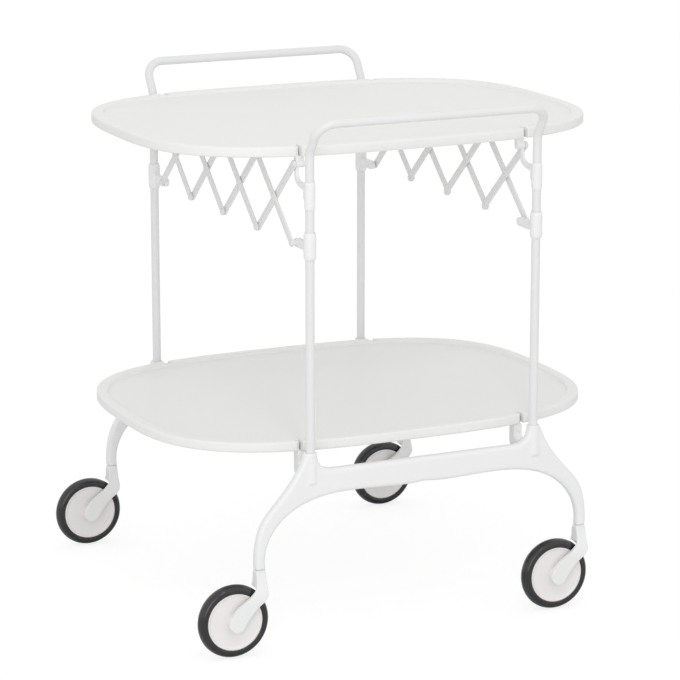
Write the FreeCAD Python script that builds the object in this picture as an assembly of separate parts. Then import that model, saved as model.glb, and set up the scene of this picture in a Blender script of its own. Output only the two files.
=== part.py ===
import FreeCAD, Part
import math
import os

"""Two-tier serving trolley with a folding tube frame.

Units are millimetres. The origin is on the floor under the middle of the trolley. X runs along
the two side frames, Y from the near frame to the far one, Z up. Each side frame is a bent tube
on a cast leg piece. Two lattices of riveted links tie the frames together under the top tray.
"""

V = FreeCAD.Vector
X_AXIS, Y_AXIS, Z_AXIS = V(1, 0, 0), V(0, 1, 0), V(0, 0, 1)

# ---- side frames ----
FRAME_HALF_X = 167.0        # uprights, from the middle
FRAME_HALF_Y = 276.0        # plane of each side frame, from the middle
TUBE_DIA = 12.0
TUBE_WALL = 1.5
TUBE_FOOT_Z = 222.0         # lower end of the uprights, inside the sockets
BEND_Z = 668.0              # here the uprights lean outwards
BEND_R = 24.0
HANDLE_Z = 710.0
HANDLE_LEAN = 27.0          # how far the handle bar stands outside its frame's plane
HANDLE_CORNER_R = 26.0

# ---- leg castings ----
CAST_THICK = 14.6
CAST_EDGE_R = 5.0
BAR_TOP_Z = 243.4
BAR_ARCH_Z = 209.6          # middle of the arched underside
SOCKET_TOP_Z = 268.5
SOCKET_TOP_R = 8.5
SOCKET_FOOT_R = 10.0
SOCKET_FOOT_Z = 226.0
SEAM_Z = 116.6              # lower end of the legs
LEG_HALF_WIDTH = 7.3
STEM_X = 241.5              # caster stems, from the middle

# ---- trays ----
TRAY_HALF_X = 330.0
TRAY_HALF_Y = 253.0
TRAY_EXPONENT = 3.1         # how square the outline is; 2 would be an ellipse
TOP_TRAY_Z = 672.7          # upper face of the rim
LOWER_TRAY_Z = 274.8
RIM_HEIGHT = 14.0
RIM_WIDTH = 15.0
RIM_EDGE_R = 2.5
RECESS_DEPTH = 5.0
FLOOR_THICK = 3.0
OUTLINE_POINTS = 40

# ---- tray seats ----
TONGUE_Y = 233.0            # where the tongues stand in the rims, from the middle
TONGUE_X_SIZE = 4.0
TONGUE_Y_SIZE = 5.0
TONGUE_SINK = 1.5           # tongue top below the rim's upper face
NOTCH_HALF_X = 4.0
NOTCH_GAP = 0.8             # clearance behind a tongue in its notch
SEAT_INNER = 10.0           # how far a seat reaches from the tongue towards the middle
SEAT_OUTER = 2.0
SEAT_Y_SIZE = 7.0
POST_Y_SIZE = 15.0
POST_FOOT_Z = 228.0
POST_BEND_Z = 240.0
LUG_LENGTH = 25.0
LUG_DEPTH = 14.0
LUG_THICK = 5.0
LUG_TIP_DEPTH = 1.0
LUG_NOSE = 5.0              # level part of the wedge's underside
LUG_GAP = 1.0               # between a lug and the seat beside it

# ---- lattices ----
LINK_WIDTH = 11.0
LINK_THICK = 2.5
LINK_GAP = 0.8              # between the two layers of links, and beside the arms
PIN_DIA = 5.0
PIN_SEAT = 6.0              # depth of an end pin in its arm
RUNNING_GAP = 0.05          # radial, round every pin that something turns on
HEAD_DIA = 8.0
HEAD_THICK = 1.4
LATTICE_HALF_Y = 234.5      # end pins, from the middle
LATTICE_LOW_Z = 543.5
LATTICE_HIGH_Z = 648.0
CELLS = 4

# ---- brackets and collars on the uprights ----
BRACKET_DIA = 14.6
COLLAR_DIA = 16.8
SLEEVE_TAPER = 4.0
SLEEVE_TAPER_R = 1.0
ARM_THICK = 4.0
ARM_HALF_WIDTH = 3.8
ARM_LOW_Z = 618.0           # lower edge of the bracket's arm where it leaves the sleeve
ARM_TOP_Z = 626.7
BRACKET_LOW_Z = 593.5
BRACKET_TOP_Z = 631.5
RIB_R = 6.3
RIB_REACH = 5.6             # the bracket's sleeve is swollen towards the arm by this much
RIB_FOOT_R = 2.5
RIB_TAPER = 12.0
BOSS_R = 5.0                # round the top pin, on the arm's inner face
BOSS_LENGTH = 8.0
COLLAR_LOW_Z = 528.3
COLLAR_TOP_Z = 564.5
COLLAR_GAP = 0.35           # radial, between sliding collar and tube
COLLAR_ARM_R = 6.0
COLLAR_ARM_THICK = 7.0

# ---- casters ----
WHEEL_R = 50.0
AXLE_Z = WHEEL_R
TYRE_WIDTH = 19.0
TYRE_ROUND = 8.0
HUB_R = 39.0
HUB_WIDTH = 17.0
HUB_RIM_WIDTH = 2.5
HUB_DISH = 3.0
WHEEL_BOSS_R = 9.0
WHEEL_BOSS_HALF = 11.0
AXLE_DIA = 8.0
AXLE_COVER = 2.5            # skin that the arm leaves over the axle's end
AXLE_HEAD_R = 6.5
AXLE_HEAD_THICK = 2.0
TRAIL = 38.5
ARM_OUTER_Y = 18.5          # outer face of the arm, from the wheel's middle plane
ARM_INNER_Y = 11.4
ARM_WHEEL_GAP = 3.0
ARM_LOBE_R = 12.0
ARM_STEM_R = 7.2
ARM_CROWN_R = 7.8
SEAM_GAP = 0.6
STEM_DIA = 9.0
STEM_LOW_Z = 94.0
STEM_TOP_Z = 146.0
STEM_FLANGE_R = 6.0

SIDES = {"near": -1, "far": 1}
ENDS = {"left": -1, "right": 1}
LINK_PLANE_A = ARM_THICK / 2 + LINK_GAP
LINK_PLANE_B = LINK_PLANE_A + LINK_THICK + LINK_GAP
PITCH = 2 * LATTICE_HALF_Y / CELLS


# ---- helpers ----
def on_side(shape, side):
    """Turn a piece built for the near frame round to the far one."""
    if side == "far":
        shape.rotate(V(0, 0, 0), Z_AXIS, 180)
    return shape


def mirrored_x(shape):
    return shape.mirror(V(0, 0, 0), X_AXIS)


def cylinder(radius, start, axis, length):
    return Part.makeCylinder(radius, length, start, axis)


def box(low, high):
    return Part.makeBox(high.x - low.x, high.y - low.y, high.z - low.z, low)


def spline(points):
    curve = Part.BSplineCurve()
    curve.interpolate(points)
    return curve.toShape()


def line(start, end):
    return Part.makeLine(start, end)


def prism(edges, direction):
    return Part.Face(Part.Wire(edges)).extrude(direction)


def polygon_prism(points, direction):
    closed = points + points[:1]
    return Part.Face(Part.makePolygon(closed)).extrude(direction)


def fuse_all(shapes):
    return shapes[0].fuse(shapes[1:]).removeSplitter()


def rounded_bar(start, end, radius, direction):
    """A flat bar with round ends between two points of one plane, extruded along direction."""
    along = (end - start).normalize()
    across = along.cross(direction).normalize() * radius
    edges = [
        line(start + across, end + across),
        Part.Arc(end + across, end + along * radius, end - across).toShape(),
        line(end - across, start - across),
        Part.Arc(start - across, start - along * radius, start + across).toShape(),
    ]
    return prism(edges, direction)


def filleted_path(points, radii):
    """Straight runs joined by tangent arcs; radii are those at the inner points."""
    edges = []
    start = points[0]
    for index, radius in enumerate(radii, start=1):
        corner, before, after = points[index], points[index - 1], points[index + 1]
        back = (before - corner).normalize()
        ahead = (after - corner).normalize()
        half_angle = back.getAngle(ahead) / 2
        reach = radius / math.tan(half_angle)
        middle = (back + ahead).normalize()
        enter = corner + back * reach
        leave = corner + ahead * reach
        top = corner + middle * (radius / math.sin(half_angle) - radius)
        edges.append(line(start, enter))
        edges.append(Part.Arc(enter, top, leave).toShape())
        start = leave
    edges.append(line(start, points[-1]))
    return Part.Wire(edges)


def swept_tube(path, radius, start, direction):
    ring = Part.Wire(Part.makeCircle(radius, start, direction))
    return path.makePipeShell([ring], True, False)


def sleeve(outer, low_z, top_z, bore_r):
    """A sleeve with tapered ends round the Z axis."""
    waist = outer - SLEEVE_TAPER_R
    profile = [
        V(bore_r, 0, low_z), V(waist, 0, low_z), V(outer, 0, low_z + SLEEVE_TAPER),
        V(outer, 0, top_z - SLEEVE_TAPER), V(waist, 0, top_z), V(bore_r, 0, top_z),
    ]
    closed = Part.Face(Part.makePolygon(profile + profile[:1]))
    return closed.revolve(V(0, 0, 0), Z_AXIS, 360)


# ---- side frames ----
def frame_tube():
    x, y = FRAME_HALF_X, -FRAME_HALF_Y
    points = [
        V(-x, y, TUBE_FOOT_Z), V(-x, y, BEND_Z), V(-x, y - HANDLE_LEAN, HANDLE_Z),
        V(x, y - HANDLE_LEAN, HANDLE_Z), V(x, y, BEND_Z), V(x, y, TUBE_FOOT_Z),
    ]
    path = filleted_path(points, [BEND_R, HANDLE_CORNER_R, HANDLE_CORNER_R, BEND_R])
    outside = swept_tube(path, TUBE_DIA / 2, points[0], Z_AXIS)
    inside = swept_tube(path, TUBE_DIA / 2 - TUBE_WALL, points[0], Z_AXIS)
    return outside.cut(inside)


def leg_half_edges():
    """The right half of the casting's outline, from the arch's middle round to the bar's top."""
    inner, outer = STEM_X - LEG_HALF_WIDTH, STEM_X + LEG_HALF_WIDTH
    socket_in = FRAME_HALF_X - SOCKET_TOP_R
    socket_out = FRAME_HALF_X + SOCKET_TOP_R
    underside = [
        V(0, 0, BAR_ARCH_Z), V(inner - 107, 0, BAR_ARCH_Z - 0.6), V(inner - 52, 0, BAR_ARCH_Z - 12.6),
        V(inner - 12, 0, BAR_ARCH_Z - 44), V(inner - 0.5, 0, SEAM_Z + 22), V(inner, 0, SEAM_Z),
    ]
    outside = [
        V(outer, 0, SEAM_Z), V(outer - 1, 0, SEAM_Z + 29), V(outer - 10, 0, SEAM_Z + 60),
        V(outer - 35.5, 0, SOCKET_TOP_Z - 60.5), V(socket_out + 8, 0, SOCKET_TOP_Z - 19.5),
        V(socket_out, 0, SOCKET_TOP_Z),
    ]
    shoulder = [
        V(socket_in, 0, SOCKET_TOP_Z), V(socket_in - 3.5, 0, SOCKET_TOP_Z - 16.5),
        V(socket_in - 19.5, 0, BAR_TOP_Z),
    ]
    return [
        spline(underside), line(underside[-1], outside[0]), spline(outside),
        line(outside[-1], shoulder[0]), spline(shoulder),
        line(shoulder[-1], V(0, 0, BAR_TOP_Z)), line(V(0, 0, BAR_TOP_Z), underside[0]),
    ]


def tray_post():
    """The bracket on the casting's inner side that the lower tray sits on, near right."""
    x, y = FRAME_HALF_X - SEAT_INNER, -FRAME_HALF_Y
    seat_z = LOWER_TRAY_Z - RIM_HEIGHT
    inner_y = -TONGUE_Y + POST_Y_SIZE / 2
    outer_y = -TONGUE_Y - POST_Y_SIZE / 2
    corners = [
        V(x, y, POST_FOOT_Z), V(x, inner_y - 3, POST_FOOT_Z), V(x, inner_y, POST_FOOT_Z + 6),
        V(x, inner_y, seat_z), V(x, outer_y, seat_z), V(x, outer_y, POST_BEND_Z + 6),
        V(x, outer_y - 6, POST_BEND_Z), V(x, y, POST_BEND_Z),
    ]
    post = polygon_prism(corners, X_AXIS * (SEAT_INNER + SEAT_OUTER))
    return fuse_all([post, tongue(LOWER_TRAY_Z, seat_z)])


def tongue(rim_z, seat_z):
    """The upright tongue that stands in a tray's notch, near right."""
    half_x, half_y = TONGUE_X_SIZE / 2, TONGUE_Y_SIZE / 2
    low = V(FRAME_HALF_X - half_x, -TONGUE_Y - half_y, seat_z - LUG_DEPTH / 2)
    return box(low, V(FRAME_HALF_X + half_x, -TONGUE_Y + half_y, rim_z - TONGUE_SINK))


def leg_casting():
    half = prism(leg_half_edges(), Y_AXIS * CAST_THICK)
    half.translate(V(0, -FRAME_HALF_Y - CAST_THICK / 2, 0))
    body = fuse_all([half, mirrored_x(half)])
    body = body.makeFillet(CAST_EDGE_R, long_edges(body))
    additions, bores = [], []
    for sign in ENDS.values():
        foot = V(sign * FRAME_HALF_X, -FRAME_HALF_Y, SOCKET_FOOT_Z)
        height = SOCKET_TOP_Z - SOCKET_FOOT_Z
        additions.append(Part.makeCone(SOCKET_FOOT_R, SOCKET_TOP_R, height, foot))
        bores.append(cylinder(TUBE_DIA / 2, V(foot.x, foot.y, TUBE_FOOT_Z), Z_AXIS, 100))
        stem = V(sign * STEM_X, -FRAME_HALF_Y, 0)
        bores.append(cylinder(STEM_DIA / 2, stem, Z_AXIS, STEM_TOP_Z))
    post = tray_post()
    body = fuse_all([body] + additions + [post, mirrored_x(post)])
    return body.cut(bores)


def long_edges(body):
    """The outline's edges on both faces, without the socket tops and leg ends."""
    chosen = []
    for edge in body.Edges:
        ends = [edge.valueAt(edge.FirstParameter), edge.valueAt(edge.LastParameter)]
        flat = abs(ends[0].y - ends[1].y) < 0.01
        level = abs(ends[0].z - ends[1].z) < 0.01
        end_face = level and (abs(ends[0].z - SEAM_Z) < 0.01 or abs(ends[0].z - SOCKET_TOP_Z) < 0.01)
        if flat and not end_face:
            chosen.append(edge)
    return chosen


# ---- trays ----
def outline_point(angle, inset, z):
    """A point of the tray's outline: a superellipse, moved in by inset."""
    c, s = math.cos(angle), math.sin(angle)
    power = 2 / TRAY_EXPONENT
    x = (TRAY_HALF_X - inset) * math.copysign(abs(c) ** power, c)
    y = (TRAY_HALF_Y - inset) * math.copysign(abs(s) ** power, s)
    return V(x, y, z)


def outline_face(inset, z):
    angles = [2 * math.pi * (i + 0.5) / OUTLINE_POINTS for i in range(OUTLINE_POINTS)]
    points = [outline_point(angle, inset, z) for angle in angles]
    curve = Part.BSplineCurve()
    curve.interpolate(Points=points, PeriodicFlag=True)
    return Part.Face(Part.Wire(curve.toShape()))


def tray(rim_z):
    base_z = rim_z - RIM_HEIGHT
    body = outline_face(0, base_z).extrude(Z_AXIS * RIM_HEIGHT)
    body = body.makeFillet(RIM_EDGE_R, body.Edges)
    recess = outline_face(RIM_WIDTH, rim_z - RECESS_DEPTH).extrude(Z_AXIS * (RECESS_DEPTH + 1))
    floor_z = rim_z - RECESS_DEPTH - FLOOR_THICK
    hollow = outline_face(RIM_WIDTH, base_z - 1).extrude(Z_AXIS * (floor_z - base_z + 1))
    body = body.cut([recess, hollow])
    lugs, notches = [], []
    for side in SIDES:
        for sign in ENDS.values():
            notches.append(on_side(notch(rim_z, sign), side))
            lugs.append(on_side(lug(base_z, sign), side))
    return body.fuse(lugs).cut(notches)


def notch(rim_z, sign):
    half_y = TONGUE_Y_SIZE / 2 + NOTCH_GAP
    x = sign * FRAME_HALF_X
    low = V(x - NOTCH_HALF_X, -TRAY_HALF_Y - 1, rim_z - RIM_HEIGHT - 1)
    high = V(x + NOTCH_HALF_X, -TONGUE_Y + half_y, rim_z + 1)
    return box(low, high)


def lug(base_z, sign):
    """The wedge under the rim beside a notch, towards the tray's middle."""
    start = FRAME_HALF_X - SEAT_INNER - LUG_GAP
    y = -TONGUE_Y - LUG_THICK / 2
    corners = [
        V(start, y, base_z + 1), V(start, y, base_z - LUG_DEPTH),
        V(start - LUG_NOSE, y, base_z - LUG_DEPTH), V(start - LUG_LENGTH, y, base_z - LUG_TIP_DEPTH),
        V(start - LUG_LENGTH, y, base_z + 1),
    ]
    wedge = polygon_prism(corners, Y_AXIS * LUG_THICK)
    return wedge if sign > 0 else mirrored_x(wedge)


# ---- brackets and collars ----
def bracket_arm():
    """Flat arm, near right: out of the sleeve, then up to the top pin and the tray."""
    x = FRAME_HALF_X - ARM_THICK / 2
    root = -FRAME_HALF_Y + TUBE_DIA / 2 - 2
    inner, outer = -LATTICE_HALF_Y + ARM_HALF_WIDTH, -LATTICE_HALF_Y - ARM_HALF_WIDTH
    under = [
        V(x, root, ARM_LOW_Z - 1.5), V(x, root + 18, ARM_LOW_Z), V(x, inner - 11, ARM_LOW_Z + 2.5),
        V(x, inner - 2.5, ARM_LOW_Z + 8), V(x, inner, ARM_LOW_Z + 16), V(x, inner, LATTICE_HIGH_Z),
    ]
    over = [
        V(x, outer, LATTICE_HIGH_Z), V(x, outer, ARM_TOP_Z + 7), V(x, outer - 2.6, ARM_TOP_Z + 2.8),
        V(x, outer - 8.6, ARM_TOP_Z + 0.6), V(x, outer - 22, ARM_TOP_Z), V(x, root, ARM_TOP_Z),
    ]
    edges = [spline(under), line(under[-1], over[0]), spline(over), line(over[-1], under[0])]
    return prism(edges, X_AXIS * ARM_THICK)


def upper_bracket(side, end):
    """Swollen sleeve, flat curved arm, boss, seat and tongue on one upright."""
    y = -FRAME_HALF_Y
    x = FRAME_HALF_X - ARM_THICK / 2
    seat_z = TOP_TRAY_Z - RIM_HEIGHT
    ring = sleeve(BRACKET_DIA / 2, BRACKET_LOW_Z, BRACKET_TOP_Z, TUBE_DIA / 2)
    ring.translate(V(FRAME_HALF_X, y, 0))
    rib_foot = V(FRAME_HALF_X, y + RIB_REACH, BRACKET_LOW_Z + SLEEVE_TAPER)
    rib_low = rib_foot + Z_AXIS * RIB_TAPER
    rib = [
        Part.makeCone(RIB_FOOT_R, RIB_R, RIB_TAPER, rib_foot),
        cylinder(RIB_R, rib_low, Z_AXIS, ARM_TOP_Z - rib_low.z),
    ]
    boss_start = V(x - BOSS_LENGTH, -LATTICE_HALF_Y, LATTICE_HIGH_Z)
    boss = cylinder(BOSS_R, boss_start, X_AXIS, BOSS_LENGTH + ARM_THICK)
    seat_low = V(FRAME_HALF_X - SEAT_INNER, -TONGUE_Y - SEAT_Y_SIZE / 2, LATTICE_HIGH_Z)
    seat = box(seat_low, V(FRAME_HALF_X + SEAT_OUTER, -TONGUE_Y + SEAT_Y_SIZE / 2, seat_z))
    body = fuse_all([bracket_arm(), boss, seat, tongue(TOP_TRAY_Z, seat_z)] + rib)
    body = body.cut(cylinder(TUBE_DIA / 2, V(FRAME_HALF_X, y, BRACKET_LOW_Z - 50), Z_AXIS, 200))
    body = fuse_all([body, ring]).cut(pin_hole(LATTICE_HIGH_Z))
    return place(body, side, end)


def sliding_collar(side, end):
    """Collar that slides on one upright and carries the lattice's lower end pin."""
    y = -FRAME_HALF_Y
    bore_r = TUBE_DIA / 2 + COLLAR_GAP
    ring = sleeve(COLLAR_DIA / 2, COLLAR_LOW_Z, COLLAR_TOP_Z, bore_r)
    ring.translate(V(FRAME_HALF_X, y, 0))
    x = FRAME_HALF_X + ARM_THICK / 2 - COLLAR_ARM_THICK
    arm = rounded_bar(V(x, y, LATTICE_LOW_Z), V(x, -LATTICE_HALF_Y, LATTICE_LOW_Z),
                      COLLAR_ARM_R, X_AXIS * COLLAR_ARM_THICK)
    arm = arm.cut(cylinder(bore_r + 1, V(FRAME_HALF_X, y, COLLAR_LOW_Z - 50), Z_AXIS, 200))
    body = fuse_all([ring, arm]).cut(pin_hole(LATTICE_LOW_Z))
    return place(body, side, end)


def pin_hole(z):
    """Blind hole for an end pin, open on the arm's outer face."""
    start = V(FRAME_HALF_X + ARM_THICK / 2 - PIN_SEAT, -LATTICE_HALF_Y, z)
    return cylinder(PIN_DIA / 2, start, X_AXIS, PIN_SEAT + 10)


def place(shape, side, end):
    """Move a piece built at the near right upright to another one."""
    if ENDS[end] < 0:
        shape = mirrored_x(shape)
    if SIDES[side] > 0:
        shape = shape.mirror(V(0, 0, 0), Y_AXIS)
    return shape


def end_pin(z, reach):
    """A shouldered pin from an arm through the end of one link, near right."""
    arm_face = FRAME_HALF_X + ARM_THICK / 2
    start = V(arm_face - PIN_SEAT, -LATTICE_HALF_Y, z)
    shank = cylinder(PIN_DIA / 2, start, X_AXIS, PIN_SEAT + reach + LINK_THICK + RUNNING_GAP)
    collar = cylinder(HEAD_DIA / 2, V(arm_face, start.y, z), X_AXIS, reach - RUNNING_GAP)
    head_x = arm_face + reach + LINK_THICK + RUNNING_GAP
    head = cylinder(HEAD_DIA / 2, V(head_x, start.y, z), X_AXIS, HEAD_THICK)
    return fuse_all([shank, collar, head])


def end_pins(side, z, reach):
    return Part.makeCompound([place(end_pin(z, reach), side, end) for end in ENDS])


# ---- lattices ----
def pin_y(index):
    """Rows of pins are counted from the far frame, 0, to the near one, CELLS."""
    return LATTICE_HALF_Y - index * PITCH


def link(end, layer, cell):
    """Layer a rises towards the near frame and layer b falls; each has one link per cell."""
    rising = layer == "a"
    plane = LINK_PLANE_A if rising else LINK_PLANE_B
    x = FRAME_HALF_X + plane
    start_z, end_z = LATTICE_LOW_Z, LATTICE_HIGH_Z
    if not rising:
        start_z, end_z = end_z, start_z
    start = V(x, pin_y(cell), start_z)
    finish = V(x, pin_y(cell + 1), end_z)
    bar = rounded_bar(start, finish, LINK_WIDTH / 2, X_AXIS * LINK_THICK)
    holes = []
    for spot in (start, (start + finish) / 2, finish):
        hole_x = V(x - 1, spot.y, spot.z)
        holes.append(cylinder(PIN_DIA / 2 + hole_gap(layer, spot), hole_x, X_AXIS, LINK_THICK + 2))
    bar = bar.cut(holes)
    return bar if ENDS[end] > 0 else mirrored_x(bar)


def hole_gap(layer, spot):
    """Rivets are fast in layer b and turn in layer a; both end pins turn in their link."""
    at_end = abs(abs(spot.y) - LATTICE_HALF_Y) < 0.01
    return RUNNING_GAP if layer == "a" or at_end else 0.0


def rivet(y, z):
    """Shouldered rivet through both layers of links, right-hand lattice."""
    x_a = FRAME_HALF_X + LINK_PLANE_A
    x_b = FRAME_HALF_X + LINK_PLANE_B
    inner = cylinder(HEAD_DIA / 2, V(x_a - RUNNING_GAP - LINK_GAP / 2, y, z), X_AXIS, LINK_GAP / 2)
    shank_length = x_b + LINK_THICK - x_a + RUNNING_GAP
    shank = cylinder(PIN_DIA / 2, V(x_a - RUNNING_GAP, y, z), X_AXIS, shank_length)
    shoulder_x = x_b - LINK_GAP + RUNNING_GAP
    shoulder = cylinder(HEAD_DIA / 2, V(shoulder_x, y, z), X_AXIS, LINK_GAP - RUNNING_GAP)
    head = cylinder(HEAD_DIA / 2, V(x_b + LINK_THICK, y, z), X_AXIS, HEAD_THICK)
    return fuse_all([inner, shank, shoulder, head])


def rivets(cell):
    """The rivets that layer b's link of one cell holds, in both lattices."""
    middle_z = (LATTICE_LOW_Z + LATTICE_HIGH_Z) / 2
    spots = [((pin_y(cell) + pin_y(cell + 1)) / 2, middle_z)]
    if cell > 0:
        spots.append((pin_y(cell), LATTICE_HIGH_Z))
    if cell < CELLS - 1:
        spots.append((pin_y(cell + 1), LATTICE_LOW_Z))
    solids = []
    for y, z in spots:
        one = rivet(y, z)
        solids += [one, mirrored_x(one)]
    return Part.makeCompound(solids)


# ---- casters: built with the stem on the Z axis and the wheel trailing towards -X ----
def arm_side_view():
    """The arm seen along the axle: down from the stem, round an elbow, to a lobe on the axle."""
    r, w = ARM_LOBE_R, ARM_STEM_R
    x, z = -TRAIL, AXLE_Z
    crown_z = SEAM_Z - SEAM_GAP
    back = [
        V(-w, 0, crown_z), V(-w, 0, crown_z - 10), V(-w - 1.3, 0, crown_z - 20),
        V(-w - 9.8, 0, crown_z - 31), V(x - r * 0.64, 0, z + r * 0.77),
    ]
    front = [
        V(x + r * 0.71, 0, z - r * 0.71), V(x + r + 7.5, 0, z + 8), V(x + r + 18.5, 0, z + 19.5),
        V(1, 0, z + 26.5), V(w - 0.9, 0, z + 34), V(w - 0.2, 0, z + 42), V(w - 0.4, 0, z + 55),
        V(w, 0, crown_z),
    ]
    lobe = Part.Arc(back[-1], V(x - r * 0.77, 0, z - r * 0.64), front[0]).toShape()
    edges = [spline(back), lobe, spline(front), line(front[-1], back[0])]
    side_view = prism(edges, Y_AXIS * (2 * ARM_OUTER_Y))
    side_view.translate(V(0, -ARM_OUTER_Y, 0))
    return side_view


def arm_front_view():
    """The arm seen along the trail: from under the stem it swings out beside the wheel."""
    w, out = ARM_STEM_R, ARM_OUTER_Y
    crown_z = SEAM_Z - SEAM_GAP
    behind, below = -TRAIL - WHEEL_R, AXLE_Z - 2 * ARM_LOBE_R
    outer = [
        V(behind, -w, crown_z), V(behind, -w - 1, crown_z - 10), V(behind, -w - 4, crown_z - 18),
        V(behind, 3.6 - out, crown_z - 25), V(behind, 0.9 - out, crown_z - 33),
        V(behind, -out, crown_z - 41),
    ]
    corners = [V(behind, -out, below), V(behind, w, below), V(behind, w, crown_z)]
    edges = [
        spline(outer), line(outer[-1], corners[0]), line(corners[0], corners[1]),
        line(corners[1], corners[2]), line(corners[2], outer[0]),
    ]
    return prism(edges, X_AXIS * (TRAIL + 2 * WHEEL_R))


def crown_envelope():
    """Rounds the arm's top off to the leg's round end."""
    top = SEAM_Z - SEAM_GAP
    r = ARM_CROWN_R
    profile = [
        V(0, 0, top), V(r, 0, top), V(r + 1.7, 0, top - 5), V(r + 5, 0, top - 10),
        V(r + 10, 0, top - 16), V(r + 17, 0, top - 21), V(2 * WHEEL_R, 0, top - 30),
        V(2 * WHEEL_R, 0, 0), V(0, 0, 0),
    ]
    face = Part.Face(Part.makePolygon(profile + profile[:1]))
    return face.revolve(V(0, 0, 0), Z_AXIS, 360)


def caster_arm():
    centre = V(-TRAIL, 0, AXLE_Z)
    body = arm_side_view().common(arm_front_view()).common(crown_envelope())
    wheel_room = WHEEL_R + ARM_WHEEL_GAP
    room = cylinder(wheel_room, centre - Y_AXIS * ARM_INNER_Y, Y_AXIS, ARM_INNER_Y + ARM_OUTER_Y)
    stem = cylinder(STEM_DIA / 2 + RUNNING_GAP, V(0, 0, STEM_LOW_Z), Z_AXIS, STEM_TOP_Z - STEM_LOW_Z)
    axle_end = ARM_OUTER_Y - AXLE_COVER
    axle = cylinder(AXLE_DIA / 2, centre - Y_AXIS * axle_end, Y_AXIS, axle_end)
    return body.cut([room, stem, axle])


def revolved(profile):
    """Turn a profile of (radius, y) corners about the wheel's axle."""
    corners = [V(-TRAIL + r, y, AXLE_Z) for r, y in profile]
    face = Part.Face(Part.makePolygon(corners + corners[:1]))
    return face.revolve(V(-TRAIL, 0, AXLE_Z), Y_AXIS, 360)


def wheel_hub():
    half = HUB_WIDTH / 2
    bore = AXLE_DIA / 2 + RUNNING_GAP
    rim_in = HUB_R - HUB_RIM_WIDTH
    outline = [
        (bore, WHEEL_BOSS_HALF), (WHEEL_BOSS_R, WHEEL_BOSS_HALF), (WHEEL_BOSS_R + 1, half - HUB_DISH),
        (rim_in - 1, half - 1), (rim_in, half), (HUB_R, half),
    ]
    return revolved(outline + [(r, -y) for r, y in reversed(outline)])


def tyre():
    half = TYRE_WIDTH / 2
    edge = WHEEL_R - TYRE_ROUND
    start, finish = V(-TRAIL + HUB_R, half - 1, AXLE_Z), V(-TRAIL + HUB_R, 1 - half, AXLE_Z)
    high, low = V(-TRAIL + edge, half, AXLE_Z), V(-TRAIL + edge, -half, AXLE_Z)
    tread = Part.Arc(high, V(-TRAIL + WHEEL_R, 0, AXLE_Z), low).toShape()
    face = Part.Face(Part.Wire([line(start, high), tread, line(low, finish), line(finish, start)]))
    return face.revolve(V(-TRAIL, 0, AXLE_Z), Y_AXIS, 360)


def wheel_axle():
    """Fast in the arm, through the hub, with a head that keeps the wheel on."""
    centre = V(-TRAIL, 0, AXLE_Z)
    buried = ARM_OUTER_Y - AXLE_COVER
    shank = cylinder(AXLE_DIA / 2, centre - Y_AXIS * buried, Y_AXIS, buried + ARM_INNER_Y)
    head = cylinder(AXLE_HEAD_R, centre + Y_AXIS * ARM_INNER_Y, Y_AXIS, AXLE_HEAD_THICK)
    return fuse_all([shank, head])


def caster_stem():
    shank = cylinder(STEM_DIA / 2, V(0, 0, STEM_LOW_Z + 1), Z_AXIS, STEM_TOP_Z - STEM_LOW_Z - 1)
    flange_z = SEAM_Z - SEAM_GAP + RUNNING_GAP
    flange = cylinder(STEM_FLANGE_R, V(0, 0, flange_z), Z_AXIS, SEAM_Z - flange_z)
    return fuse_all([shank, flange])


def at_caster(shape, side, end):
    shape.translate(V(ENDS[end] * STEM_X, SIDES[side] * FRAME_HALF_Y, 0))
    return shape


def build():
    nodes = {"top_tray": tray(TOP_TRAY_Z), "lower_tray": tray(LOWER_TRAY_Z)}
    top_reach, low_reach = LINK_GAP, LINK_GAP + LINK_THICK + LINK_GAP
    for side in SIDES:
        nodes[side + "_frame_tube"] = on_side(frame_tube(), side)
        nodes[side + "_leg_casting"] = on_side(leg_casting(), side)
        falls = side == "near"
        nodes[side + "_bracket_pins"] = end_pins(side, LATTICE_HIGH_Z, top_reach if falls else low_reach)
        nodes[side + "_collar_pins"] = end_pins(side, LATTICE_LOW_Z, low_reach if falls else top_reach)
        stems = [at_caster(caster_stem(), side, end) for end in ENDS]
        nodes[side + "_caster_stems"] = Part.makeCompound(stems)
        for end in ENDS:
            name = side + "_" + end + "_"
            nodes[name + "bracket"] = upper_bracket(side, end)
            nodes[name + "collar"] = sliding_collar(side, end)
            nodes[name + "caster_arm"] = at_caster(caster_arm(), side, end)
            nodes[name + "wheel_hub"] = at_caster(wheel_hub(), side, end)
            nodes[name + "tyre"] = at_caster(tyre(), side, end)
            nodes[name + "wheel_axle"] = at_caster(wheel_axle(), side, end)
    for cell in range(CELLS):
        nodes["lattice_rivets_%d" % (cell + 1)] = rivets(cell)
        for end in ENDS:
            for layer in "ab":
                nodes["%s_link_%s%d" % (end, layer, cell + 1)] = link(end, layer, cell)
    return nodes


os.makedirs("parts", exist_ok=True)
for node, shape in build().items():
    shape.exportStep("parts/" + node + ".step")
    print("%-28s %9.0f mm3 %s" % (node, shape.Volume, shape.isValid()))
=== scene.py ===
"""Looks of a white folding serving trolley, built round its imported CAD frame. Units are metres."""
import math

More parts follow.
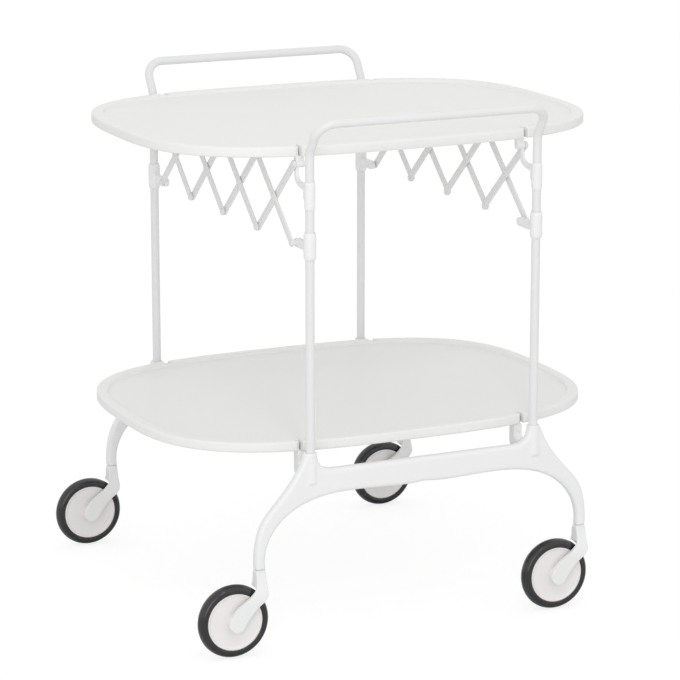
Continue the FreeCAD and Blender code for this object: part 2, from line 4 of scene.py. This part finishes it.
import bmesh
import bpy
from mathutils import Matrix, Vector

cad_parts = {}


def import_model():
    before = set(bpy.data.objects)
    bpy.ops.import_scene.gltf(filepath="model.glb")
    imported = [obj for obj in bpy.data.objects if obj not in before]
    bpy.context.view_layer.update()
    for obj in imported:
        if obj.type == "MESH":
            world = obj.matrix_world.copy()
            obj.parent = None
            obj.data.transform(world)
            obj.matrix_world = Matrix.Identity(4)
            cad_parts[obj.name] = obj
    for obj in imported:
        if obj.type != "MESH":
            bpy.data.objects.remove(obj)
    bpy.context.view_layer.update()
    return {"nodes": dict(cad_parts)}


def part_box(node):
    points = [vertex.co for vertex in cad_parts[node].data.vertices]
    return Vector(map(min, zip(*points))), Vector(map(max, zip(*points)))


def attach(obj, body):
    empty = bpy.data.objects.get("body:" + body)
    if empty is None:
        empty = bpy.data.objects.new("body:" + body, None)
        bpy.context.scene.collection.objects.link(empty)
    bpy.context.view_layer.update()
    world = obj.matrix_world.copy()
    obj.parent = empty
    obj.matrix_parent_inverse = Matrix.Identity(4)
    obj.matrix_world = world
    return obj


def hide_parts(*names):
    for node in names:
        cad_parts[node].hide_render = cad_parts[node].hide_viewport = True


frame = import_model()

MM = 0.001
SIDES = ("near", "far")
ENDS = ("left", "right")
CORNERS = [side + "_" + end for side in SIDES for end in ENDS]

CAMERA_PLACE = Vector((-1.7476, -3.7775, 1.3533))
CAMERA_AZIMUTH, CAMERA_ELEVATION = -24.879, 13.645
CAMERA_LENS = 159.78

# trays
TRAY_EXPONENT = 3.1
RIM_HEIGHT, RIM_WIDTH, RIM_EDGE_R = 14 * MM, 15 * MM, 2.5 * MM
RECESS_DEPTH, FLOOR_THICK = 5 * MM, 3 * MM
NOTCH_X, NOTCH_HALF_X = 167 * MM, 4 * MM
NOTCH_INNER_Y, NOTCH_OUTER_Y = 229.7 * MM, 260 * MM
LUG_START, LUG_LENGTH, LUG_NOSE = 156 * MM, 25 * MM, 5 * MM
LUG_DEPTH, LUG_TIP, LUG_THICK, LUG_Y = 14 * MM, 1 * MM, 5 * MM, 233 * MM

# frame tubes
TUBE_R, TUBE_BEND_R = 6 * MM, 25 * MM
TUBE_SIDES, BEND_STEPS = 48, 16
BEND_Z, HANDLE_LEAN = 668 * MM, 27 * MM

# lattices
LINK_HALF_WIDTH, LINK_THICK = 5.5 * MM, 2.5 * MM
CELLS = 4

# softening of the castings, brackets, collars and caster arms
CASTING_VOXEL, FITTING_VOXEL, ARM_VOXEL = 1.3 * MM, 0.6 * MM, 0.8 * MM
SOFT_ROUNDS = 5

# noise scales shared by all finishes
TINT_SCALE, GLOSS_SCALE = 9.0, 45.0
COAT_ROUGHNESS = 0.12

# floor, world and lamps: light given to the object, and light seen by the camera
FLOOR_BOUNCE, FLOOR_SEEN, FLOOR_GLOW = 0.82, 0.26, 0.80
WORLD_LIGHT, WORLD_SEEN = 0.83, 1.0
KEY_PLACE, KEY_TARGET, KEY_SIZE, KEY_POWER = (-1.9, -3.4, 1.1), (0, 0, 0.3), 2.2, 23
SPARK_PLACE, SPARK_TARGET, SPARK_SIZE, SPARK_POWER = (-0.5, -1.9, 2.4), (0, 0, 0.1), 0.3, 5


# ---- materials ----
def new_material(name):
    material = bpy.data.materials.new(name)
    material.use_nodes = True
    tree = material.node_tree
    place = tree.nodes.new("ShaderNodeTexCoord")
    return material, tree, place.outputs["Object"], tree.nodes["Principled BSDF"]


def noise(tree, place, scale, detail=2.0):
    node = tree.nodes.new("ShaderNodeTexNoise")
    node.inputs["Scale"].default_value = scale
    node.inputs["Detail"].default_value = detail
    tree.links.new(place, node.inputs["Vector"])
    return node.outputs["Fac"]


def bumps(tree, heights):
    """Chain bumps from (height output, distance, strength), coarse to fine."""
    last = None
    for height, distance, strength in heights:
        node = tree.nodes.new("ShaderNodeBump")
        node.inputs["Distance"].default_value = distance
        node.inputs["Strength"].default_value = strength
        tree.links.new(height, node.inputs["Height"])
        if last:
            tree.links.new(last, node.inputs["Normal"])
        last = node.outputs["Normal"]
    return last


def coated(name, colour, shade, roughness, spread, skin, wave, coat=0.0):
    """A coat or moulding: colour drifts between two tints, gloss drifts too, and the skin is grained."""
    material, tree, place, shader = new_material(name)
    cloud = noise(tree, place, TINT_SCALE, 3.0)
    tint = tree.nodes.new("ShaderNodeMix")
    tint.data_type = "RGBA"
    tint.inputs["A"].default_value = (*shade, 1)
    tint.inputs["B"].default_value = (*colour, 1)
    tree.links.new(cloud, tint.inputs["Factor"])
    tree.links.new(tint.outputs["Result"], shader.inputs["Base Color"])
    gloss = tree.nodes.new("ShaderNodeMapRange")
    gloss.inputs["To Min"].default_value = roughness - spread
    gloss.inputs["To Max"].default_value = roughness + spread
    tree.links.new(noise(tree, place, GLOSS_SCALE, 4.0), gloss.inputs["Value"])
    tree.links.new(gloss.outputs["Result"], shader.inputs["Roughness"])
    heights = [(noise(tree, place, scale), depth, 0.5) for scale, depth in (wave, skin)]
    tree.links.new(bumps(tree, heights), shader.inputs["Normal"])
    shader.inputs["Coat Weight"].default_value = coat
    shader.inputs["Coat Roughness"].default_value = COAT_ROUGHNESS
    return material


PAINT = coated("white_powder_coat", (0.835, 0.835, 0.84), (0.81, 0.811, 0.816), 0.36, 0.05,
               skin=(1300, 0.00003), wave=(420, 0.00005), coat=0.15)
CAST = coated("white_coated_casting", (0.90, 0.90, 0.90), (0.875, 0.878, 0.88), 0.42, 0.06,
              skin=(1100, 0.00004), wave=(160, 0.00012), coat=0.1)
TRAY = coated("warm_white_moulding", (0.895, 0.895, 0.88), (0.875, 0.875, 0.86), 0.44, 0.06,
              skin=(2600, 0.00002), wave=(60, 0.00004))
ARM = coated("white_moulding", (0.88, 0.888, 0.884), (0.86, 0.868, 0.864), 0.4, 0.05,
             skin=(2200, 0.00002), wave=(120, 0.00005))
HUB = coated("off_white_moulding", (0.90, 0.876, 0.866), (0.875, 0.852, 0.842), 0.43, 0.05,
             skin=(2200, 0.00002), wave=(120, 0.00004))
TYRE = coated("glossy_black_tyre", (0.014, 0.014, 0.016), (0.009, 0.009, 0.011), 0.2, 0.05,
              skin=(1600, 0.00002), wave=(240, 0.00003), coat=0.35)
LINK = coated("white_coated_steel", (0.85, 0.85, 0.85), (0.82, 0.82, 0.82), 0.34, 0.06,
              skin=(1500, 0.00003), wave=(500, 0.00004), coat=0.2)


def finish_of(node):
    for word, material in (("tray", TRAY), ("arm", ARM), ("hub", HUB), ("axle", LINK), ("tyre", TYRE),
                           ("link", LINK), ("rivets", LINK), ("pins", LINK), ("stems", LINK)):
        if word in node:
            return material
    return PAINT


for node, solid in frame["nodes"].items():
    solid.data.materials.clear()
    solid.data.materials.append(finish_of(node))


# ---- mesh helpers ----
def new_piece(name, mesh):
    piece = bpy.data.objects.new(name, mesh)
    bpy.context.scene.collection.objects.link(piece)
    return piece


def plain_mesh(piece):
    """Put the result of a piece's modifiers into its mesh and drop the modifiers."""
    bpy.context.view_layer.update()
    graph = bpy.context.evaluated_depsgraph_get()
    made = bpy.data.meshes.new_from_object(piece.evaluated_get(graph), depsgraph=graph)
    piece.modifiers.clear()
    piece.data = made


def smooth(piece, angle=180.0):
    for face in piece.data.polygons:
        face.use_smooth = True
    if angle < 180:
        piece.data.set_sharp_from_angle(angle=math.radians(angle))


def dress(piece, body, slot, finish, *nodes):
    piece.data.materials.clear()
    piece.data.materials.append(finish)
    for face in piece.data.polygons:
        face.material_index = 0
    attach(piece, body)
    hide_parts(*nodes)


def mesh_of(name, build):
    """A mesh from a function that fills a bmesh."""
    shape = bmesh.new()
    build(shape)
    bmesh.ops.recalc_face_normals(shape, faces=shape.faces)
    mesh = bpy.data.meshes.new(name)
    shape.to_mesh(mesh)
    shape.free()
    return mesh


def ring(shape, points):
    return [shape.verts.new(point) for point in points]


def skin_rings(shape, rings, closed):
    """Faces between rings of equal length; closed joins the last one to the first."""
    pairs = list(zip(rings, rings[1:]))
    if closed:
        pairs.append((rings[-1], rings[0]))
    count = len(rings[0])
    for low, high in pairs:
        for i in range(count):
            j = (i + 1) % count
            shape.faces.new((low[i], low[j], high[j], high[i]))


def prism(shape, outline, thickness):
    """A flat outline of points carried along a vector."""
    low = ring(shape, outline)
    high = ring(shape, [point + thickness for point in outline])
    skin_rings(shape, [low, high], False)
    shape.faces.new(low)
    shape.faces.new(high)


def softened(node, body, slot, finish, voxel):
    """A copy of a CAD piece with the sharp joins of its parts run into each other."""
    piece = new_piece(node + "_soft", frame["nodes"][node].data.copy())
    even = piece.modifiers.new("even", "REMESH")
    even.mode = "VOXEL"
    even.voxel_size = voxel
    soft = piece.modifiers.new("soft", "SMOOTH")
    soft.factor = 0.5
    soft.iterations = SOFT_ROUNDS
    plain_mesh(piece)
    smooth(piece)
    dress(piece, body, slot, finish, node)


# ---- trays ----
def outline(half_x, half_y, inset, z, count=256):
    points = []
    for i in range(count):
        angle = 2 * math.pi * (i + 0.5) / count
        c, s = math.cos(angle), math.sin(angle)
        power = 2 / TRAY_EXPONENT
        points.append(Vector(((half_x - inset) * math.copysign(abs(c) ** power, c),
                              (half_y - inset) * math.copysign(abs(s) ** power, s), z)))
    return points


def rim_profile():
    """(inset, depth below the rim's top) from the floor up over the rim and back underneath."""
    r, w = RIM_EDGE_R, RIM_WIDTH
    points = [(w + 12 * MM, RECESS_DEPTH), (w + 3.2 * MM, RECESS_DEPTH),
              (w + 1.8 * MM, RECESS_DEPTH - 0.3 * MM), (w + 0.8 * MM, RECESS_DEPTH - 1.2 * MM),
              (w + 0.3 * MM, RECESS_DEPTH - 2.6 * MM), (w, 1.3 * MM), (w - 0.5 * MM, 0.45 * MM),
              (w - 1.4 * MM, 0.08 * MM), (w - 2.6 * MM, 0)]
    steps = 6
    for k in range(steps + 1):
        turn = math.pi / 2 * k / steps
        points.append((r - r * math.sin(turn), r - r * math.cos(turn)))
    for k in range(steps + 1):
        turn = math.pi / 2 * k / steps
        points.append((r - r * math.cos(turn), RIM_HEIGHT - r + r * math.sin(turn)))
    under = RECESS_DEPTH + FLOOR_THICK
    points += [(w - 0.8 * MM, RIM_HEIGHT), (w - 0.1 * MM, RIM_HEIGHT - 0.7 * MM),
               (w, under + 1.5 * MM), (w + 1.5 * MM, under), (w + 12 * MM, under)]
    return points


def tray(node):
    low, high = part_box(node)
    half_x, half_y, top = high.x, high.y, high.z
    base = top - RIM_HEIGHT

    def build(shape):
        rings = [ring(shape, outline(half_x, half_y, inset, top - depth))
                 for inset, depth in rim_profile()]
        skin_rings(shape, rings, False)
        shape.faces.new(rings[0])
        shape.faces.new(rings[-1])
        for sx in (-1, 1):
            for sy in (-1, 1):
                y = sy * LUG_Y - LUG_THICK / 2
                corners = [(LUG_START, base + 1 * MM), (LUG_START, base - LUG_DEPTH),
                           (LUG_START - LUG_NOSE, base - LUG_DEPTH),
                           (LUG_START - LUG_LENGTH, base - LUG_TIP), (LUG_START - LUG_LENGTH, base + 1 * MM)]
                prism(shape, [Vector((sx * x, y, z)) for x, z in corners], Vector((0, LUG_THICK, 0)))

    def cutters(shape):
        for sx in (-1, 1):
            for sy in (-1, 1):
                x, out, into = sx * NOTCH_X, sy * NOTCH_OUTER_Y, sy * NOTCH_INNER_Y
                corners = [(x - NOTCH_HALF_X, out), (x + NOTCH_HALF_X, out),
                           (x + NOTCH_HALF_X, into), (x - NOTCH_HALF_X, into)]
                prism(shape, [Vector((a, b, base - 1 * MM)) for a, b in corners],
                      Vector((0, 0, RIM_HEIGHT + 2 * MM)))

    piece = new_piece(node + "_moulded", mesh_of(node + "_moulded", build))
    tool = new_piece("notches", mesh_of("notches", cutters))
    cut = piece.modifiers.new("notches", "BOOLEAN")
    cut.object = tool
    cut.solver = "EXACT"
    edge = piece.modifiers.new("edges", "BEVEL")
    edge.width = 0.5 * MM
    edge.segments = 3
    edge.limit_method = "ANGLE"
    edge.angle_limit = math.radians(50)
    plain_mesh(piece)
    bpy.data.objects.remove(tool)
    smooth(piece, 40)
    dress(piece, node, "tray_plastic", TRAY, node)


# ---- wheels ----
def turned(name, centre, profile, count=128):
    """Turn a closed profile of (radius, y) in millimetres about the wheel's axle."""
    def build(shape):
        rings = []
        for radius, y in profile:
            points = []
            for i in range(count):
                turn = 2 * math.pi * i / count
                points.append(centre + Vector((radius * math.cos(turn), y, radius * math.sin(turn))) * MM)
            rings.append(ring(shape, points))
        skin_rings(shape, rings, True)

    piece = new_piece(name, mesh_of(name, build))
    smooth(piece, 40)
    return piece


def both_faces(half):
    """Complete a profile that is given for the +y face, from the axle outwards."""
    return half + [(radius, -y) for radius, y in reversed(half) if y > 0]


# (radius, y) in millimetres, from the axle outwards
HUB_FACE = [(4.05, 10.6), (4.6, 11.0), (8.2, 11.0), (8.8, 10.7), (9.2, 9.8), (9.7, 7.6),
            (10.8, 6.7), (12.5, 6.4), (24, 6.35), (33.5, 6.9), (35.2, 7.2), (35.9, 7.7),
            (36.3, 8.3), (36.9, 8.6), (38.3, 8.6), (38.8, 8.3)]
TYRE_FACE = [(38.8, 8.0), (39.2, 8.8), (40.0, 9.3), (42.0, 9.5), (44.3, 9.3), (45.8, 8.8),
             (46.7, 8.1), (47.6, 6.9), (48.6, 5.0), (49.4, 3.0), (49.85, 1.4), (50.0, 0.0)]


def wheel(corner):
    low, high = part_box(corner + "_tyre")
    centre = (low + high) / 2
    body = corner + "_wheel"
    hub = turned(corner + "_hub_turned", centre, both_faces(HUB_FACE))
    dress(hub, body, "hub_plastic", HUB, corner + "_wheel_hub")
    rubber = turned(corner + "_tyre_turned", centre, both_faces(TYRE_FACE))
    dress(rubber, body, "tyre_rubber", TYRE, corner + "_tyre")


# ---- Geometry Nodes: tubes along a path, and rows of one part ----
def new_tree(name, inputs):
    tree = bpy.data.node_groups.new(name, "GeometryNodeTree")
    tree.interface.new_socket(name="Geometry", in_out="INPUT", socket_type="NodeSocketGeometry")
    for label, kind in inputs:
        tree.interface.new_socket(name=label, in_out="INPUT", socket_type="NodeSocket" + kind)
    tree.interface.new_socket(name="Geometry", in_out="OUTPUT", socket_type="NodeSocketGeometry")
    return tree, tree.nodes.new("NodeGroupInput").outputs


def end_tree(tree, given, last):
    """Realize Instances and Set Material, then the output."""
    whole = tree.nodes.new("GeometryNodeRealizeInstances")
    paint = tree.nodes.new("GeometryNodeSetMaterial")
    result = tree.nodes.new("NodeGroupOutput")
    tree.links.new(last, whole.inputs["Geometry"])
    tree.links.new(whole.outputs["Geometry"], paint.inputs["Geometry"])
    tree.links.new(given["Finish"], paint.inputs["Material"])
    tree.links.new(paint.outputs["Geometry"], result.inputs["Geometry"])


def tube_tree():
    tree, given = new_tree("tube_along_path", [("Radius", "Float"), ("Bend radius", "Float"),
                                               ("Finish", "Material")])
    nodes, links = tree.nodes, tree.links
    path = nodes.new("GeometryNodeMeshToCurve")
    bend = nodes.new("GeometryNodeFilletCurve")
    profile = nodes.new("GeometryNodeCurvePrimitiveCircle")
    tube = nodes.new("GeometryNodeCurveToMesh")
    if hasattr(bend, "mode"):
        bend.mode = "POLY"
    bend.inputs["Count"].default_value = BEND_STEPS
    bend.inputs["Limit Radius"].default_value = True
    profile.inputs["Resolution"].default_value = TUBE_SIDES
    tube.inputs["Fill Caps"].default_value = True
    links.new(given["Geometry"], path.inputs["Mesh"])
    links.new(path.outputs["Curve"], bend.inputs["Curve"])
    links.new(given["Bend radius"], bend.inputs["Radius"])
    links.new(given["Radius"], profile.inputs["Radius"])
    links.new(bend.outputs["Curve"], tube.inputs["Curve"])
    links.new(profile.outputs["Curve"], tube.inputs["Profile Curve"])
    end_tree(tree, given, tube.outputs["Mesh"])
    return tree


def row_tree():
    tree, given = new_tree("row_of_parts", [("Count", "Int"), ("Start", "Vector"), ("Step", "Vector"),
                                            ("Finish", "Material")])
    nodes, links = tree.nodes, tree.links
    spots = nodes.new("GeometryNodeMeshLine")
    spots.mode = "OFFSET"
    parts = nodes.new("GeometryNodeInstanceOnPoints")
    links.new(given["Count"], spots.inputs["Count"])
    links.new(given["Start"], spots.inputs["Start Location"])
    links.new(given["Step"], spots.inputs["Offset"])
    links.new(spots.outputs["Mesh"], parts.inputs["Points"])
    links.new(given["Geometry"], parts.inputs["Instance"])
    end_tree(tree, given, parts.outputs["Instances"])
    return tree


TUBE_ALONG_PATH = tube_tree()
ROW_OF_PARTS = row_tree()


def grown(piece, tree, **values):
    """Run a tree on a piece with its inputs set by name, and keep the result as a plain mesh."""
    modifier = piece.modifiers.new(tree.name, "NODES")
    modifier.node_group = tree
    for item in tree.interface.items_tree:
        key = item.name.replace(" ", "_").lower()
        if item.in_out == "INPUT" and key in values:
            modifier[item.identifier] = values[key]
    plain_mesh(piece)
    return piece


def frame_tube(side):
    low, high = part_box(side + "_frame_tube")
    sign = -1 if side == "near" else 1
    y = sign * (max(abs(low.y), abs(high.y)) - TUBE_R - HANDLE_LEAN)
    out = y + sign * HANDLE_LEAN
    x, foot, bar = high.x - TUBE_R, low.z, high.z - TUBE_R
    points = [(-x, y, foot), (-x, y, BEND_Z), (-x, out, bar), (x, out, bar), (x, y, BEND_Z), (x, y, foot)]
    mesh = bpy.data.meshes.new(side + "_tube_bent")
    mesh.from_pydata(points, [(i, i + 1) for i in range(len(points) - 1)], [])
    piece = new_piece(side + "_tube_bent", mesh)
    grown(piece, TUBE_ALONG_PATH, radius=TUBE_R, bend_radius=TUBE_BEND_R, finish=PAINT)
    smooth(piece, 60)
    dress(piece, "frame", "white_paint", PAINT, side + "_frame_tube")


def link_mesh(start, finish):
    """One link between two pins of the plane x = 0, with rolled edges."""
    along = (finish - start).normalized()
    across = Vector((0, -along.z, along.y))
    steps = 14
    flat = []
    for centre, first in ((finish, 0.0), (start, math.pi)):
        for k in range(steps + 1):
            turn = first + math.pi * k / steps - math.pi / 2
            flat.append((centre, along * math.cos(turn) + across * math.sin(turn)))
    half = LINK_THICK / 2
    layers = [(-half, 0.65), (-half * 0.93, 0.3), (-half * 0.7, 0.08), (-half * 0.45, 0.0),
              (half * 0.45, 0.0), (half * 0.7, 0.08), (half * 0.93, 0.3), (half, 0.65)]

    def build(shape):
        rings = []
        for x, inset in layers:
            reach = LINK_HALF_WIDTH - inset * MM
            rings.append(ring(shape, [centre + way * reach + Vector((x, 0, 0)) for centre, way in flat]))
        skin_rings(shape, rings, False)
        shape.faces.new(rings[0])
        shape.faces.new(rings[-1])

    return mesh_of("link", build)


def joined(name, pieces):
    """One piece from several rows."""
    shape = bmesh.new()
    for piece in pieces:
        shape.from_mesh(piece.data)
        bpy.data.objects.remove(piece)
    mesh = bpy.data.meshes.new(name)
    shape.to_mesh(mesh)
    shape.free()
    return new_piece(name, mesh)


def lattice_links():
    rows, nodes = [], []
    for end in ENDS:
        for layer in "ab":
            names = ["%s_link_%s%d" % (end, layer, cell + 1) for cell in range(CELLS)]
            low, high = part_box(names[0])
            first_y, last_y = high.y - LINK_HALF_WIDTH, low.y + LINK_HALF_WIDTH
            low_z, high_z = low.z + LINK_HALF_WIDTH, high.z - LINK_HALF_WIDTH
            ends = (low_z, high_z) if layer == "a" else (high_z, low_z)
            part = new_piece("row", link_mesh(Vector((0, 0, ends[0])), Vector((0, last_y - first_y, ends[1]))))
            rows.append(grown(part, ROW_OF_PARTS, count=CELLS, start=((low.x + high.x) / 2, first_y, 0),
                              step=(0, last_y - first_y, 0), finish=LINK))
            nodes += names
    piece = joined("lattice_links_row", rows)
    smooth(piece, 40)
    dress(piece, "frame", "white_paint", LINK, *nodes)


# ---- floor, light and camera ----
def floor():
    bpy.ops.mesh.primitive_plane_add(size=60, location=(0, 0, 0))
    plane = bpy.context.object
    plane.name = "floor"
    material = bpy.data.materials.new("pale_floor")
    material.use_nodes = True
    nodes, links = material.node_tree.nodes, material.node_tree.links
    nodes.clear()
    out = nodes.new("ShaderNodeOutputMaterial")
    diffuse = nodes.new("ShaderNodeBsdfDiffuse")
    diffuse.inputs["Color"].default_value = (FLOOR_BOUNCE, FLOOR_BOUNCE, FLOOR_BOUNCE, 1)
    glow = nodes.new("ShaderNodeEmission")
    glow.inputs["Strength"].default_value = FLOOR_GLOW
    seen = nodes.new("ShaderNodeBsdfDiffuse")
    seen.inputs["Color"].default_value = (FLOOR_SEEN, FLOOR_SEEN, FLOOR_SEEN, 1)
    both = nodes.new("ShaderNodeAddShader")
    links.new(seen.outputs[0], both.inputs[0])
    links.new(glow.outputs[0], both.inputs[1])
    path = nodes.new("ShaderNodeLightPath")
    mix = nodes.new("ShaderNodeMixShader")
    links.new(path.outputs["Is Camera Ray"], mix.inputs[0])
    links.new(diffuse.outputs[0], mix.inputs[1])
    links.new(both.outputs[0], mix.inputs[2])
    links.new(mix.outputs[0], out.inputs["Surface"])
    plane.data.materials.append(material)


def world():
    scene_world = bpy.data.worlds.new("studio")
    bpy.context.scene.world = scene_world
    scene_world.use_nodes = True
    nodes, links = scene_world.node_tree.nodes, scene_world.node_tree.links
    back = nodes["Background"]
    path = nodes.new("ShaderNodeLightPath")
    pick = nodes.new("ShaderNodeMath")
    pick.operation = "MAXIMUM"
    links.new(path.outputs["Is Camera Ray"], pick.inputs[0])
    links.new(path.outputs["Is Glossy Ray"], pick.inputs[1])
    level = nodes.new("ShaderNodeMapRange")
    level.inputs["To Min"].default_value = WORLD_LIGHT
    level.inputs["To Max"].default_value = WORLD_SEEN
    links.new(pick.outputs[0], level.inputs["Value"])
    back.inputs["Color"].default_value = (1, 1, 1, 1)
    links.new(level.outputs["Result"], back.inputs["Strength"])


def soft_light(name, place, target, size, power):
    data = bpy.data.lights.new(name, "AREA")
    data.size = size
    data.energy = power
    lamp = bpy.data.objects.new(name, data)
    lamp.location = place
    lamp.rotation_mode = "QUATERNION"
    lamp.rotation_quaternion = (Vector(target) - Vector(place)).to_track_quat("-Z", "Y")
    bpy.context.scene.collection.objects.link(lamp)


def camera():
    azimuth, elevation = math.radians(CAMERA_AZIMUTH), math.radians(CAMERA_ELEVATION)
    back = Vector((math.sin(azimuth) * math.cos(elevation),
                   -math.cos(azimuth) * math.cos(elevation), math.sin(elevation)))
    data = bpy.data.cameras.new("camera")
    data.lens = CAMERA_LENS
    data.sensor_width = 36
    data.clip_start, data.clip_end = 0.1, 100
    eye = bpy.data.objects.new("camera", data)
    eye.location = CAMERA_PLACE
    eye.rotation_mode = "QUATERNION"
    eye.rotation_quaternion = (-back).to_track_quat("-Z", "Y")
    bpy.context.scene.collection.objects.link(eye)
    bpy.context.scene.camera = eye


for side in SIDES:
    frame_tube(side)
    softened(side + "_leg_casting", "frame", "white_paint", CAST, CASTING_VOXEL)
for corner in CORNERS:
    softened(corner + "_bracket", "frame", "white_paint", CAST, FITTING_VOXEL)
    softened(corner + "_collar", "frame", "white_paint", CAST, FITTING_VOXEL)
    softened(corner + "_caster_arm", corner + "_caster", "tray_plastic_caster", ARM, ARM_VOXEL)
    wheel(corner)
tray("top_tray")
tray("lower_tray")
lattice_links()

bpy.context.scene.view_settings.view_transform = "Standard"
floor()
world()
soft_light("key", KEY_PLACE, KEY_TARGET, KEY_SIZE, KEY_POWER)
soft_light("spark", SPARK_PLACE, SPARK_TARGET, SPARK_SIZE, SPARK_POWER)
camera()
